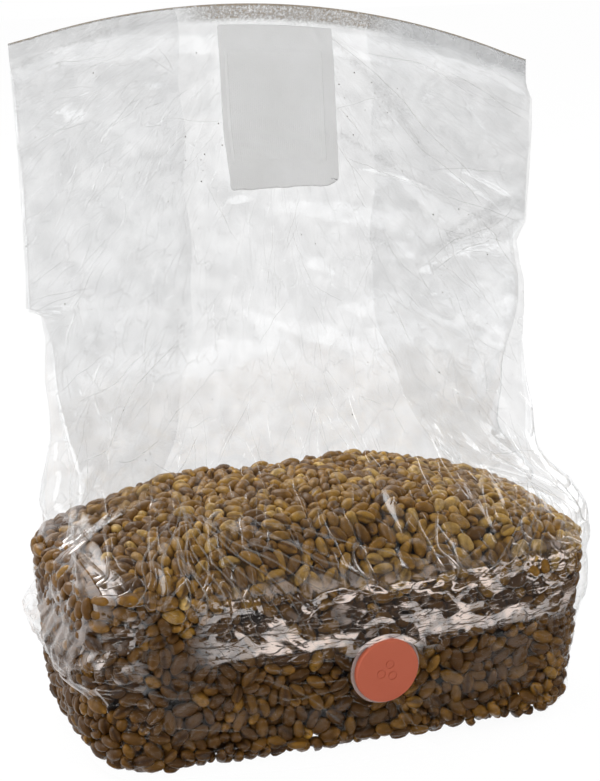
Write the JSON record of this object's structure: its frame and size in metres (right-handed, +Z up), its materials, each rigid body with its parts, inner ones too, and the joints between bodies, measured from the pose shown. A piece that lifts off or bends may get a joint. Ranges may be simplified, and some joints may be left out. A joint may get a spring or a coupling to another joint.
{
  "type": "mushroom grow bag",
  "caption": "Sealed clear gusseted film bag standing on a brick of cooked wheat grain, with a filter patch at the top and a round injection port in front.",
  "frame": {"origin": "on the floor under the middle of the bag's bounding box", "axes": "+Z up, along the bag's height; +X to the right, along the bag's width, seen from the front; -Y is the front, with the filter patch and the injection port"},
  "size_m": [0.211, 0.1246, 0.2736],
  "materials": {
    "clear_film": "clear glossy crinkled polypropylene film",
    "cooked_wheat": "moist wheat kernels, tan to dark brown",
    "filter_fleece": "pale grey fine non-woven fleece with a welded rim",
    "red_silicone": "matte terracotta red silicone",
    "clear_adhesive": "clear adhesive film"
  },
  "bodies": {
    "root": {"bag_film": "clear_film", "grain": "cooked_wheat", "filter_patch": "filter_fleece", "injection_port": "red_silicone", "adhesive_pad": "clear_adhesive"}
  },
  "joints": []
}
